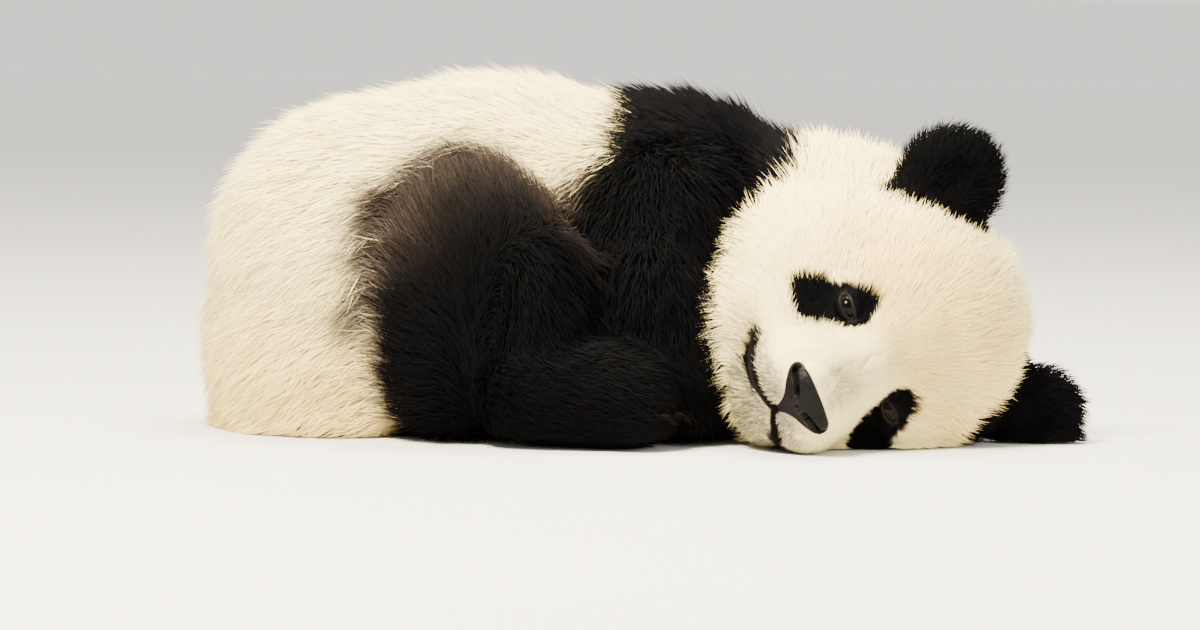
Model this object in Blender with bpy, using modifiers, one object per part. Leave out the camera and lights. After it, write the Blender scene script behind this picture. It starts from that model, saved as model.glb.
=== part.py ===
"""A young giant panda, life size, lying on its front with its head on its left cheek.

Metres, +Z up. The body runs along +X, its right side faces -Y, and it rests on z = 0. Each solid has
the outline of the coat. It is a few named masses, each an ellipsoid or a tapered limb, fused by a
voxel remesh and smoothed. Where two solids press together one is cut from the other, with a thin gap.
"""

import math

import bmesh
import bpy
from mathutils import Euler, Matrix, Vector

# ---- driving dimensions ------------------------------------------------------------------------

SIDES = (("right", 1), ("left", -1))
GAP = 0.0004  # between two pieces that meet
FLOOR_SIZE = 3.0  # the block that trims what would lie under the floor

# The head's own frame: +X the animal's right, +Y forward through the nose, +Z up through the crown.
HEAD_AT = Vector((0.187, -0.100, 0.0844))
HEAD_TURN = Euler([math.radians(a) for a in (-17.5, -66.7, -163.7)])

EYE_RADIUS = 0.0125
EYE_OUT, EYE_FORWARD, EYE_UP = 0.047, 0.0835, 0.0155

NOSE_FORWARD, NOSE_UP = 0.1525, -0.040
NOSE_HALF = Vector((0.030, 0.016, 0.020))

EAR_AT = {  # the floor pushes the left ear outward
    "right": Vector((0.101, -0.008, 0.129)),
    "left": Vector((-0.118, -0.008, 0.122)),
}
EAR_RADIUS = 0.051
EAR_THICKNESS = 0.050
EAR_DISH = 0.010  # depth of the hollow in the front of the ear

TAIL_HALF = Vector((0.030, 0.040, 0.060))

TOES = 5
TOE_HALF = Vector((0.026, 0.0135, 0.023))
CLAW_LENGTH = 0.021
CLAW_RADIUS = 0.0044

SHOULDER_BAND_BACK = Vector((-0.028, 0, 0.240))  # a point on the rear edge of the dark band
SHOULDER_BAND_LEAN = 24  # degrees that this edge leans back as it runs down

BLACK_FUR = (0.012, 0.011, 0.012)
CREAM_FUR = (0.86, 0.78, 0.60)
HORN = (0.09, 0.07, 0.055)
EYE_BROWN = (0.025, 0.013, 0.008)
NOSE_LEATHER = (0.02, 0.018, 0.02)


# ---- masses ------------------------------------------------------------------------------------


def ball(centre, half, turn=(0, 0, 0)):
    """One ellipsoid: its centre, its half axes, and its turn in degrees about X, Y and Z."""
    half = Vector(half) if hasattr(half, "__len__") else Vector((half,) * 3)
    angles = Euler([math.radians(a) for a in turn])
    return [Matrix.LocRotScale(Vector(centre), angles, half)]


def limb(start, end, start_radius, end_radius, steps=6):
    """A tapered limb from start to end, as a row of overlapping spheres."""
    start, end = Vector(start), Vector(end)
    row = []
    for i in range(steps + 1):
        t = i / steps
        row += ball(start.lerp(end, t), start_radius + (end_radius - start_radius) * t)
    return row


def mirrored(masses, axis):
    """The mirror image of masses in the plane through the origin whose normal is axis."""
    flip = Matrix.Scale(-1, 4, axis)
    return [flip @ mass @ Matrix.Scale(-1, 4, (1, 0, 0)) for mass in masses]


def both_sides(masses):
    return masses + mirrored(masses, (1, 0, 0))


def on_side(masses, side):
    """Body masses given for the right side, or their mirror image for the left."""
    return masses if side == 1 else mirrored(masses, (0, 1, 0))


# ---- the body, in its own frame ----------------------------------------------------------------


def trunk_masses():
    haunches = ball((-0.206, 0, 0.150), (0.173, 0.175, 0.150))
    seat = ball((-0.255, 0, 0.062), (0.127, 0.160, 0.132))
    loin = ball((-0.118, 0, 0.163), (0.185, 0.170, 0.154))
    withers = ball((0.020, 0.004, 0.160), (0.166, 0.150, 0.147))
    belly = ball((-0.090, 0, 0.070), (0.200, 0.150, 0.100))
    chest = ball((0.050, 0.010, 0.100), (0.085, 0.118, 0.095))
    return haunches + seat + loin + withers + belly + chest


def neck_masses():
    crest = limb((0.130, 0.000, 0.152), (0.180, -0.028, 0.150), 0.118, 0.114)
    nape = limb((0.150, -0.005, 0.125), (0.208, -0.040, 0.128), 0.100, 0.098)
    return crest + nape


def tail_masses():
    return ball((-0.352, 0, 0.084), TAIL_HALF, (0, -8, 0))


def thigh_masses():
    haunch = ball((-0.140, -0.130, 0.137), (0.095, 0.078, 0.116), (0, 10, 0))
    knee = ball((-0.102, -0.158, 0.160), (0.062, 0.060, 0.070))
    seat = ball((-0.150, -0.132, 0.075), (0.078, 0.074, 0.084))
    return haunch + knee + seat


def shank_masses():
    return limb((-0.088, -0.171, 0.151), (-0.082, -0.181, 0.060), 0.057, 0.055)


def hind_foot_masses():
    heel_and_sole = limb((-0.086, -0.184, 0.054), (-0.006, -0.192, 0.042), 0.055, 0.047)
    instep = ball((-0.030, -0.186, 0.060), (0.056, 0.044, 0.038), (0, 20, 0))
    return heel_and_sole + instep


def upper_arm_masses():
    shoulder = ball((0.024, -0.098, 0.162), (0.098, 0.062, 0.112), (0, 6, 0))
    elbow = limb((0.016, -0.116, 0.120), (0.034, -0.134, 0.064), 0.082, 0.068)
    return shoulder + elbow


def folded_palm_masses():
    return limb((0.140, -0.012, 0.040), (0.160, 0.016, 0.036), 0.042, 0.038, 3)


def folded_toes():
    return toe_row(Vector((0.148, 0.000, 0.030)), 50, 0.030, 0.034)


def stretched_palm_masses():
    return limb((0.200, 0.150, 0.042), (0.228, 0.150, 0.036), 0.043, 0.038, 3)


def stretched_toes():
    return toe_row(Vector((0.212, 0.150, 0.030)), -4, 0.032, 0.036)


def hind_toes():
    return toe_row(Vector((-0.016, -0.192, 0.028)), 0, 0.033, 0.034)


def folded_forearm_masses():
    return limb((0.062, -0.132, 0.052), (0.142, -0.012, 0.044), 0.052, 0.042)


def stretched_forearm_masses():
    return limb((0.092, 0.147, 0.054), (0.198, 0.150, 0.045), 0.054, 0.044)


def toe_row(wrist, heading, width, reach):
    """Toe masses and claw masses of one paw. wrist is where the toes start and heading its angle."""
    turn = Matrix.Translation(wrist) @ Matrix.Rotation(math.radians(heading), 4, "Z")
    toes, claws = [], []
    for i in range(TOES):
        side = 2 * i / (TOES - 1) - 1
        along = reach - 0.016 * side * side
        toe = ball((along, side * width, 0), TOE_HALF)
        toes += [turn @ mass for mass in toe]
        root = Vector((along + TOE_HALF.x * 0.62, side * width * 1.03, 0.003))
        bend = root + Vector((CLAW_LENGTH * 0.55, 0, -0.001))
        tip = bend + Vector((CLAW_LENGTH * 0.42, 0, -0.009))
        claw = limb(root, bend, CLAW_RADIUS, CLAW_RADIUS * 0.8, 3)
        claw += limb(bend, tip, CLAW_RADIUS * 0.8, CLAW_RADIUS * 0.3, 3)
        claws.append([turn @ mass for mass in claw])
    return toes, claws


# ---- the head, in its own frame ----------------------------------------------------------------


def skull_masses():
    cranium = ball((0, -0.014, 0.051), (0.123, 0.108, 0.111))
    forehead = ball((0, 0.030, 0.048), (0.086, 0.068, 0.066))
    bridge = ball((0, 0.082, 0.000), (0.040, 0.050, 0.040))
    muzzle = ball((0, 0.100, -0.044), (0.054, 0.056, 0.046))
    chin = ball((0, 0.082, -0.078), (0.044, 0.058, 0.033))
    throat = ball((0, -0.004, -0.052), (0.090, 0.084, 0.060))
    brow = ball((0.044, 0.048, 0.016), (0.056, 0.044, 0.052))
    cheek = ball((0.068, 0.002, -0.014), (0.082, 0.084, 0.090))
    jowl = ball((0.052, 0.022, -0.054), (0.062, 0.074, 0.058))
    upper_lip = ball((0.025, 0.116, -0.058), (0.031, 0.038, 0.028))
    middle = cranium + forehead + bridge + muzzle + chin + throat
    return middle + both_sides(brow + cheek + jowl + upper_lip)


def ear_masses(side):
    return ball(EAR_AT[side], (EAR_RADIUS, EAR_THICKNESS / 2, EAR_RADIUS))


def ear_hollow_masses(side):
    radius = EAR_RADIUS * 0.62
    front = Vector((0, EAR_THICKNESS / 2 + radius - EAR_DISH, 0.004))
    return ball(EAR_AT[side] + front, radius)


# ---- making the solids -------------------------------------------------------------------------


def material(name, colour, roughness):
    made = bpy.data.materials.new(name)
    made.use_nodes = True
    shader = made.node_tree.nodes["Principled BSDF"]
    shader.inputs["Base Color"].default_value = (*colour, 1)
    shader.inputs["Roughness"].default_value = roughness
    shader.inputs["Metallic"].default_value = 0
    made.diffuse_color = (*colour, 1)
    return made


def new_collection(name):
    made = bpy.data.collections.new(name)
    bpy.context.scene.collection.children.link(made)
    return made


def evaluated_mesh(obj):
    bpy.context.view_layer.update()
    graph = bpy.context.evaluated_depsgraph_get()
    return bpy.data.meshes.new_from_object(obj.evaluated_get(graph))


def box_of(obj):
    """Two opposite corners of the upright box round a mesh object, in world space."""
    corners = [obj.matrix_world @ point.co for point in obj.data.vertices]
    low = Vector([min(corner[axis] for corner in corners) for axis in range(3)])
    high = Vector([max(corner[axis] for corner in corners) for axis in range(3)])
    return low, high


def boxes_meet(one, other):
    return all(one[0][k] < other[1][k] and other[0][k] < one[1][k] for k in range(3))


class Builder:
    """Makes the nodes in order. Each one is cut by the swollen shapes of those made before it."""

    def __init__(self):
        self.nodes = new_collection("giant_panda")
        self.helpers = new_collection("cutters")
        self.cutters = []
        self.head = bpy.data.objects.new("head_frame", None)
        self.head.location = HEAD_AT
        self.head.rotation_euler = HEAD_TURN
        self.nodes.objects.link(self.head)
        self.floor = self.block("floor", Matrix.Translation((0, 0, -FLOOR_SIZE / 2)))

    def helper(self, name, mesh):
        obj = bpy.data.objects.new(name, mesh)
        self.helpers.objects.link(obj)
        obj.hide_render = True
        obj.display_type = "WIRE"
        return obj

    def block(self, name, matrix):
        mesh = bpy.data.meshes.new(name)
        shape = bmesh.new()
        bmesh.ops.create_cube(shape, size=FLOOR_SIZE, matrix=matrix)
        shape.to_mesh(mesh)
        shape.free()
        return self.helper(name, mesh)

    def balls_mesh(self, name, masses, around=32):
        mesh = bpy.data.meshes.new(name)
        shape = bmesh.new()
        for mass in masses:
            bmesh.ops.create_uvsphere(
                shape, u_segments=around, v_segments=around // 2, radius=1, matrix=mass
            )
        shape.to_mesh(mesh)
        shape.free()
        return mesh

    def piece(self, name, masses, look, voxel, smooth, triangles, on_head=False):
        """One solid from masses, thinned to about so many triangles, then cut by its elders."""
        mesh = self.balls_mesh(name, masses)
        mesh.materials.append(look)
        obj = bpy.data.objects.new(name, mesh)
        self.nodes.objects.link(obj)
        if on_head:
            obj.parent = self.head
        fuse = obj.modifiers.new("fuse", "REMESH")
        fuse.mode = "VOXEL"
        fuse.voxel_size = voxel
        soften = obj.modifiers.new("soften", "SMOOTH")
        soften.factor = 0.5
        soften.iterations = smooth
        full = evaluated_mesh(obj)
        full.calc_loop_triangles()
        thin = obj.modifiers.new("thin", "DECIMATE")
        thin.ratio = triangles / len(full.loop_triangles)
        thin.use_collapse_triangulate = True
        bpy.data.meshes.remove(full)
        even = obj.modifiers.new("even", "SMOOTH")
        even.factor = 0.25
        even.iterations = 2

        # The shape is frozen here, so that the solid and its cutter have the same faces.
        obj.data = evaluated_mesh(obj)
        obj.modifiers.clear()
        own = self.helper(name + "_cutter", obj.data.copy())
        own.matrix_world = obj.matrix_world
        grow = own.modifiers.new("gap", "DISPLACE")
        grow.mid_level = 0
        grow.strength = GAP
        box = box_of(own)
        for cutter, cutter_box in self.cutters:
            if boxes_meet(box, cutter_box):
                self.cut(obj, cutter)
        self.cutters.append((own, box))
        return obj

    def cut(self, obj, cutter, operation="DIFFERENCE"):
        step = obj.modifiers.new("by_" + cutter.name, "BOOLEAN")
        step.operation = operation
        step.solver = "EXACT"
        step.object = cutter

    def parted(self, obj, name, look, place):
        """Cuts obj in two at a plane, and gives what lies on its +X side as another solid."""
        other = obj.copy()
        other.name = name
        other.data = obj.data.copy()
        other.data.materials[0] = look
        self.nodes.objects.link(other)
        half = FLOOR_SIZE / 2
        inside = self.block(name + "_side", place @ Matrix.Translation((half, 0, 0)))
        outside = self.block(name + "_rest", place @ Matrix.Translation((half - GAP, 0, 0)))
        self.cut(other, inside, "INTERSECT")
        self.cut(obj, outside)
        return other

    def settle(self):
        """Trims every solid flat at the floor, then moves all so that the box round them is centred."""
        solids = [obj for obj in self.nodes.objects if obj.type == "MESH"]
        for obj in solids:
            self.cut(obj, self.floor)
        bpy.context.view_layer.update()
        graph = bpy.context.evaluated_depsgraph_get()
        boxes = [box_of(obj.evaluated_get(graph)) for obj in solids]
        low = [min(box[0][axis] for box in boxes) for axis in range(2)]
        high = [max(box[1][axis] for box in boxes) for axis in range(2)]
        shift = Vector((-(low[0] + high[0]) / 2, -(low[1] + high[1]) / 2, 0))
        for obj in list(self.nodes.objects) + list(self.helpers.objects):
            if obj.parent is None:
                obj.location += shift


# ---- the animal --------------------------------------------------------------------------------


def build():
    for obj in list(bpy.data.objects):
        bpy.data.objects.remove(obj)
    make = Builder()
    cream = material("cream_fur", CREAM_FUR, 0.9)
    black = material("black_fur", BLACK_FUR, 0.9)
    horn = material("claw_horn", HORN, 0.4)
    leather = material("nose_leather", NOSE_LEATHER, 0.45)
    brown = material("eye_brown", EYE_BROWN, 0.08)

    nose = ball((0, NOSE_FORWARD, NOSE_UP), NOSE_HALF)
    make.piece("nose", nose, leather, 0.003, 2, 100, on_head=True)
    for name, side in SIDES:
        eye = ball((side * EYE_OUT, EYE_FORWARD, EYE_UP), EYE_RADIUS)
        make.piece("eye_" + name, eye, brown, 0.002, 1, 72, on_head=True)
    make.piece("head", skull_masses(), cream, 0.006, 7, 980, on_head=True)
    for name, side in SIDES:
        ear = make.piece("ear_" + name, ear_masses(name), black, 0.004, 3, 170, on_head=True)
        dish = make.helper("dish_" + name, make.balls_mesh("dish", ear_hollow_masses(name), 14))
        dish.parent = make.head
        make.cut(ear, dish)

    # The right forearm is folded under the chest, so it comes before the trunk.
    paw(make, "forepaw_right", folded_palm_masses(), *folded_toes(), black, horn)
    make.piece("forearm_right", folded_forearm_masses(), black, 0.011, 3, 104)
    make.piece("tail", tail_masses(), cream, 0.006, 4, 90)
    trunk = make.piece("trunk", trunk_masses(), cream, 0.013, 10, 740)
    lean = Matrix.Rotation(math.radians(SHOULDER_BAND_LEAN), 4, "Y")
    make.parted(trunk, "shoulders", black, Matrix.Translation(SHOULDER_BAND_BACK) @ lean)
    make.piece("neck", neck_masses(), cream, 0.014, 6, 180)

    paw(make, "forepaw_left", stretched_palm_masses(), *stretched_toes(), black, horn)
    make.piece("forearm_left", stretched_forearm_masses(), black, 0.011, 3, 104)
    for name, side in SIDES:
        toes, claws = hind_toes()
        claws = [on_side(claw, side) for claw in claws]
        sole = on_side(hind_foot_masses(), side)
        paw(make, "hind_foot_" + name, sole, on_side(toes, side), claws, black, horn)
        make.piece("shank_" + name, on_side(shank_masses(), side), black, 0.012, 3, 120)
        make.piece("thigh_" + name, on_side(thigh_masses(), side), black, 0.011, 5, 190)
        make.piece("upper_arm_" + name, on_side(upper_arm_masses(), side), black, 0.012, 4, 140)
    make.settle()


def paw(make, name, sole, toes, claws, look, horn):
    for i, claw in enumerate(claws):
        make.piece(f"{name}_claw_{i + 1}", claw, horn, 0.0012, 1, 24)
    make.piece(name, sole + toes, look, 0.007, 3, 210)


build()
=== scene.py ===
"""A young giant panda lying down with its head on its side: one skin, a coat of tufts, eyes and claws.

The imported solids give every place. The skin wraps all the solids of flesh and is drawn in by the
depth of the coat. The tufts root on the skin and reach back out to the outline of the solids.
"""

import itertools
import math

import bpy
import numpy as np
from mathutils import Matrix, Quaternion, Vector
from mathutils.bvhtree import BVHTree
from mathutils.kdtree import KDTree


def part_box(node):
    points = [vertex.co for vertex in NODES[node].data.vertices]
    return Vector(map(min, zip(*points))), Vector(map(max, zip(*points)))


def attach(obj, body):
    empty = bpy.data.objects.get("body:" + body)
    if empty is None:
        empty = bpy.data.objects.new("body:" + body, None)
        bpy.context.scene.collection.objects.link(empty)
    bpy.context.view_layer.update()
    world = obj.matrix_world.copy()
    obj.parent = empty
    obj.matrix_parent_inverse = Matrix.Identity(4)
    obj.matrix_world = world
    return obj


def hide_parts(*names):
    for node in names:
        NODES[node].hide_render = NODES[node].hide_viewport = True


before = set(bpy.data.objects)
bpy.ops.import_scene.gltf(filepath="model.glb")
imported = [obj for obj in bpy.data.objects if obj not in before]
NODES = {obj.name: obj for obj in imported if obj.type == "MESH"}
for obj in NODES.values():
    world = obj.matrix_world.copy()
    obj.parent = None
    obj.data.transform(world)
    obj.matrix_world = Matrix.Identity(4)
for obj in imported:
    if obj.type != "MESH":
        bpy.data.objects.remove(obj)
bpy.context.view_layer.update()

MM = 0.001
FAR = 99.0
SIDES = (("right", 1), ("left", -1))
EYE_NODES = ["eye_right", "eye_left"]
CLAW_NODES = sorted(name for name in NODES if "_claw_" in name)
FLESH_NODES = sorted(set(NODES) - set(EYE_NODES) - set(CLAW_NODES))
CREAM_NODES = ["head", "neck", "trunk", "tail", "nose"]
DARK_NODES = [name for name in FLESH_NODES if name not in CREAM_NODES]

SKIN_VOXEL = 0.004
COAT_SHARE = 1.0
MOST_TRIANGLES = 190_000
SEED = 7

# The skin's mesh is split once for each reach round the face, in millimetres, the last time
# only at the nose, at the eyes and along the mouth.
FINER_WITHIN = (78, 46, 0)

# Rounds of smoothing, for the fold behind the head and for the lie of the coat.
NECK_ROUNDS = 130
LIE_ROUNDS = 14
NAPE_LIE_ROUNDS = 60


# ---------------- small helpers


def unit(vectors):
    """Each vector at length 1."""
    return vectors / np.maximum(np.linalg.norm(vectors, axis=-1, keepdims=True), 1e-12)


def ramp(low, high, values):
    """0 at low, 1 at high, smooth between, whichever of the two is larger."""
    share = np.clip((values - low) / (high - low), 0, 1)
    return share * share * (3 - 2 * share)


def mixed(first, second, share):
    return first + (second - first) * share


def noise(points, size, seed):
    """Smooth noise from -1 to 1 over cells of this size."""
    cells = 32
    lattice = np.random.default_rng(seed).uniform(-1, 1, (cells, cells, cells))
    place = points / size
    corner = np.floor(place).astype(int)
    share = place - corner
    share = share * share * (3 - 2 * share)
    total = np.zeros(len(points))
    for step in itertools.product((0, 1), repeat=3):
        index = (corner + step) % cells
        weight = np.prod(np.where(step, share, 1 - share), axis=1)
        total += lattice[index[:, 0], index[:, 1], index[:, 2]] * weight
    return total


def centre_of(node):
    low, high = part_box(node)
    return (Vector(low) + Vector(high)) / 2


# ---------------- head frame

# The places of the eyes' middle and of the nose in the head's frame, in metres.
EYE_FORWARD = 0.0835
EYE_UP = 0.0155
NOSE_FORWARD = 0.1525
NOSE_UP = -0.040


def head_frame():
    """The head's origin and its right, forward and up directions, from its eyes and nose."""
    eyes = [centre_of(name) for name in EYE_NODES]
    right = (eyes[0] - eyes[1]).normalized()
    between = (eyes[0] + eyes[1]) / 2
    to_nose = centre_of("nose") - between
    to_nose -= right * to_nose.dot(right)
    to_nose.normalize()
    drop = math.atan2(NOSE_UP - EYE_UP, NOSE_FORWARD - EYE_FORWARD)
    across = right.cross(to_nose)
    forward = to_nose * math.cos(drop) - across * math.sin(drop)
    up = to_nose * math.sin(drop) + across * math.cos(drop)
    origin = between - forward * EYE_FORWARD - up * EYE_UP
    return np.array(origin), np.array([right, forward, up])


HEAD_ORIGIN, HEAD_AXES = head_frame()


def in_head(points):
    """Right, forward and up of points in the head's frame, in millimetres."""
    return (points - HEAD_ORIGIN) @ HEAD_AXES.T / MM


def from_head(places):
    return HEAD_ORIGIN + np.asarray(places, float) * MM @ HEAD_AXES


# ---------------- mesh in numbers


def arrays_of(mesh):
    """The points and triangles of a mesh."""
    mesh.calc_loop_triangles()
    points = np.empty(len(mesh.vertices) * 3, np.float32)
    mesh.vertices.foreach_get("co", points)
    triangles = np.empty(len(mesh.loop_triangles) * 3, np.int32)
    mesh.loop_triangles.foreach_get("vertices", triangles)
    return points.reshape(-1, 3).astype(float), triangles.reshape(-1, 3)


def mesh_from(name, points, triangles):
    mesh = bpy.data.meshes.new(name)
    mesh.vertices.add(len(points))
    mesh.vertices.foreach_set("co", np.asarray(points, np.float32).ravel())
    mesh.loops.add(len(triangles) * 3)
    mesh.loops.foreach_set("vertex_index", np.asarray(triangles, np.int32).ravel())
    mesh.polygons.add(len(triangles))
    mesh.polygons.foreach_set("loop_start", np.arange(0, len(triangles) * 3, 3, dtype=np.int32))
    mesh.update(calc_edges=True)
    mesh.shade_smooth()
    return mesh


def piece_from(name, data):
    piece = bpy.data.objects.new(name, data)
    bpy.context.scene.collection.objects.link(piece)
    return piece


def add_values(mesh, name, values):
    """One number on each vertex, for the material to read."""
    layer = mesh.attributes.new(name, "FLOAT", "POINT")
    layer.data.foreach_set("value", np.asarray(values, np.float32))


def joined(names):
    """The points and triangles of several nodes, and the node that each triangle is from."""
    points, triangles, owner = [], [], []
    start = 0
    for index, name in enumerate(names):
        own_points, own_triangles = arrays_of(NODES[name].data)
        points.append(own_points)
        triangles.append(own_triangles + start)
        owner.append(np.full(len(own_triangles), index))
        start += len(own_points)
    return np.vstack(points), np.vstack(triangles), np.concatenate(owner)


def tree_of(names):
    """A search tree of several nodes' surfaces, and the node that each of its triangles is from."""
    points, triangles, owner = joined(names)
    return BVHTree.FromPolygons(points.tolist(), triangles.tolist()), owner


def from_nodes(names, points):
    """The distance of each point from the nearest of these nodes, in metres."""
    tree, _ = tree_of(names)
    return np.array([tree.find_nearest(point)[3] for point in points])


def bell(values, middle, width):
    """1 at the middle, falling away on both sides over this width."""
    return np.exp(-(((values - middle) / width) ** 2))


def vertex_normals(points, triangles):
    corners = points[triangles]
    faces = np.cross(corners[:, 1] - corners[:, 0], corners[:, 2] - corners[:, 0])
    total = np.zeros_like(points)
    for corner in range(3):
        for axis in range(3):
            total[:, axis] += np.bincount(triangles[:, corner], faces[:, axis], len(points))
    return unit(total)


class Links:
    """The edges of a surface, to average values over neighbours."""

    def __init__(self, triangles, count):
        ends = np.concatenate([triangles[:, [0, 1]], triangles[:, [1, 2]], triangles[:, [2, 0]]])
        key = np.unique(np.sort(ends, axis=1), axis=0)
        self.first = key[:, 0]
        self.second = key[:, 1]
        self.count = count
        self.degree = np.bincount(key.ravel(), minlength=count).astype(float)

    def average(self, values):
        flat = values.reshape(self.count, -1)
        total = np.empty_like(flat)
        for column in range(flat.shape[1]):
            total[:, column] = np.bincount(self.first, flat[self.second, column], self.count)
            total[:, column] += np.bincount(self.second, flat[self.first, column], self.count)
        return (total / self.degree[:, None]).reshape(values.shape)

    def smooth(self, values, rounds, strength=0.5):
        """Values drawn towards their neighbours' average, where strength may differ by vertex."""
        values = values.astype(float)
        strength = np.broadcast_to(strength, self.count)
        if values.ndim == 2:
            strength = strength[:, None]
        for _ in range(rounds):
            values = values + (self.average(values) - values) * strength
        return values

    def largest_part(self):
        """True for the vertices of the largest connected part."""
        label = np.arange(self.count)
        while True:
            lowest = label.copy()
            np.minimum.at(lowest, self.first, label[self.second])
            np.minimum.at(lowest, self.second, label[self.first])
            lowest = lowest[lowest]
            if np.array_equal(lowest, label):
                break
            label = lowest
        return label == np.bincount(label).argmax()


def wrapped(points, triangles, voxel):
    """One closed surface round everything, as triangles."""
    shape = piece_from("wrap", mesh_from("wrap", points, triangles))
    remesh = shape.modifiers.new("wrap", "REMESH")
    remesh.mode = "VOXEL"
    remesh.voxel_size = voxel
    evaluated = shape.evaluated_get(bpy.context.evaluated_depsgraph_get())
    result = arrays_of(evaluated.to_mesh())
    evaluated.to_mesh_clear()
    bpy.data.objects.remove(shape)
    return result


def kept(points, triangles, wanted):
    index = np.cumsum(wanted) - 1
    return points[wanted], index[triangles[wanted[triangles].all(axis=1)]]


def split(points, triangles, inside):
    """Every edge whose two ends are inside gets a point at its middle."""
    ends = np.concatenate([triangles[:, [0, 1]], triangles[:, [1, 2]], triangles[:, [2, 0]]])
    key, index = np.unique(np.sort(ends, axis=1), axis=0, return_inverse=True)
    cut = inside[key[:, 0]] & inside[key[:, 1]]
    middle = np.full(len(key), -1)
    middle[cut] = len(points) + np.arange(cut.sum())
    points = np.vstack([points, points[key[cut]].mean(axis=1)])
    middles = middle[index.reshape(-1)].reshape(3, -1).T
    cuts = (middles >= 0).sum(axis=1)
    result = [triangles[cuts == 0]]
    whole, mid = triangles[cuts == 3], middles[cuts == 3]
    for side in range(3):
        result.append(np.column_stack([whole[:, side], mid[:, side], mid[:, side - 1]]))
    result.append(mid)
    for side in range(3):
        one = (cuts == 1) & (middles[:, side] >= 0)
        first, second, third = np.roll(triangles[one], -side, axis=1).T
        halfway = middles[one, side]
        result.append(np.column_stack([first, halfway, third]))
        result.append(np.column_stack([halfway, second, third]))
    return points, np.vstack(result)


# ---------------- places on the face

# The eyeballs, in metres, and the right one's gaze, as right, forward and up.
GAZE = (0.30, 0.95, 0.02)
EYE_RADIUS = 0.0125
EYE_SINK = 0.0030
EYE_DROP = 0.0048
CORNEA = 0.0010
# The lids' skin lies on the eyeball, and ends behind its surface inside their opening.
LID_THICKNESS = 0.0010
LID_BEHIND = 0.0030

# The opening between the lids, in millimetres.
LID_HALF_WIDTH = 11.2
LID_HALF_HEIGHT = 2.7
LID_TILT = math.radians(3)

# Places in the head's frame, in millimetres, as right, forward and up.
NOSE_MIDDLE = [(0, 165, -48), (0, 140, -60)]
MUZZLE_TOP = [(0, 150, -50), (0, 120, -20)]
FACE_MIDDLE = (0, 110, -40)
# The coat of the head and neck lies away from this place, just ahead of the nose.
AHEAD_OF_NOSE = (0, 172, -46)
EAR_BASE = (70, -8, 80)

# Lines and outlines on the right half of the face, which the left half mirrors. A line runs
# through right, forward and up, and an outline through right and up, as seen from ahead.
NOSTRIL = [(27, 150, -46), (22, 156, -48.5), (16, 160, -50.5), (10, 161, -53)]
PHILTRUM = [(0, 163, -52), (0, 152, -63), (0, 143, -74)]
MOUTH = [
    (0, 141, -76), (9, 138, -79.5), (17, 136, -82), (24, 130, -84.5), (33, 123, -84.5),
    (39, 112, -83), (45, 98, -80), (50, 94, -76), (55, 92, -71),
]  # fmt: skip
CREASE = [(1, 131, -4), (4, 129, 6), (10, 122, 16)]
LEATHER_FORWARD = 132
LEATHER_OUTLINE = [
    (0, -35.8), (8, -36.0), (16, -36.3), (25, -37.3), (32.5, -41.5), (32.5, -49), (26, -55.5),
    (18, -60), (11.5, -63.5), (7.5, -67), (4.5, -70.5), (2.6, -74), (0, -75.5),
]  # fmt: skip
PATCH_OUTLINE = [
    (91, -18), (87, -8), (79, 2), (73, 12), (68, 22), (62, 31), (53, 38), (43, 39), (34, 34),
    (29.5, 25), (29.5, 15), (32.5, 7), (37, -3), (42.5, -13), (49, -25), (58, -33), (69, -34), (81, -29),
]  # fmt: skip


class Eye:
    """An eyeball's place, its gaze, and the directions outward along the lids and up."""

    def __init__(self, side, sign):
        self.side = side
        self.gaze = unit(np.multiply(GAZE, (sign, 1, 1)) @ HEAD_AXES)
        outward = unit(np.array([math.cos(LID_TILT) * sign, 0, math.sin(LID_TILT)]) @ HEAD_AXES)
        self.outward = unit(outward - self.gaze * outward.dot(self.gaze))
        self.up = np.cross(self.outward, self.gaze) * sign
        middle = np.array(centre_of("eye_" + side))
        self.centre = middle - self.gaze * EYE_SINK - HEAD_AXES[2] * EYE_DROP

    def lid_distance(self, points):
        """Millimetres outside the lids' opening, negative inside it, in the plane across the gaze."""
        offset = (points - self.centre) / MM
        across, height = offset @ self.outward, offset @ self.up
        x, y = across / LID_HALF_WIDTH, height / LID_HALF_HEIGHT
        level = np.hypot(x, y)
        slope = np.hypot(x / LID_HALF_WIDTH, y / LID_HALF_HEIGHT)
        return (level - 1) * level / np.maximum(slope, 1e-3)


EYES = [Eye(side, sign) for side, sign in SIDES]


def from_line(places, line):
    """The distance of each place from a line through several points."""
    nearest = np.full(len(places), np.inf)
    line = np.asarray(line, float)
    for start, end in zip(line[:-1], line[1:]):
        along = np.clip((places - start) @ (end - start) / ((end - start) @ (end - start)), 0, 1)
        gap = np.linalg.norm(places - start - along[:, None] * (end - start), axis=1)
        nearest = np.minimum(nearest, gap)
    return nearest


def rounded(outline, rounds=2):
    """A closed outline with its corners cut round."""
    points = np.asarray(outline, float)
    for _ in range(rounds):
        after = np.roll(points, -1, axis=0)
        points = np.stack([0.75 * points + 0.25 * after, 0.25 * points + 0.75 * after], axis=1)
        points = points.reshape(-1, 2)
    return points


def outside(places, outline):
    """Millimetres outside a closed outline in the plane, negative inside it."""
    after = np.roll(outline, -1, axis=0)
    inside = np.zeros(len(places), bool)
    for start, end in zip(outline, after):
        between = (start[1] > places[:, 1]) != (end[1] > places[:, 1])
        rise = (end[1] - start[1]) or 1.0
        crossing = start[0] + (places[:, 1] - start[1]) * (end[0] - start[0]) / rise
        inside ^= between & (places[:, 0] < crossing)
    gap = from_line(places, np.vstack([outline, outline[:1]]))
    return np.where(inside, -gap, gap)


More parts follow.
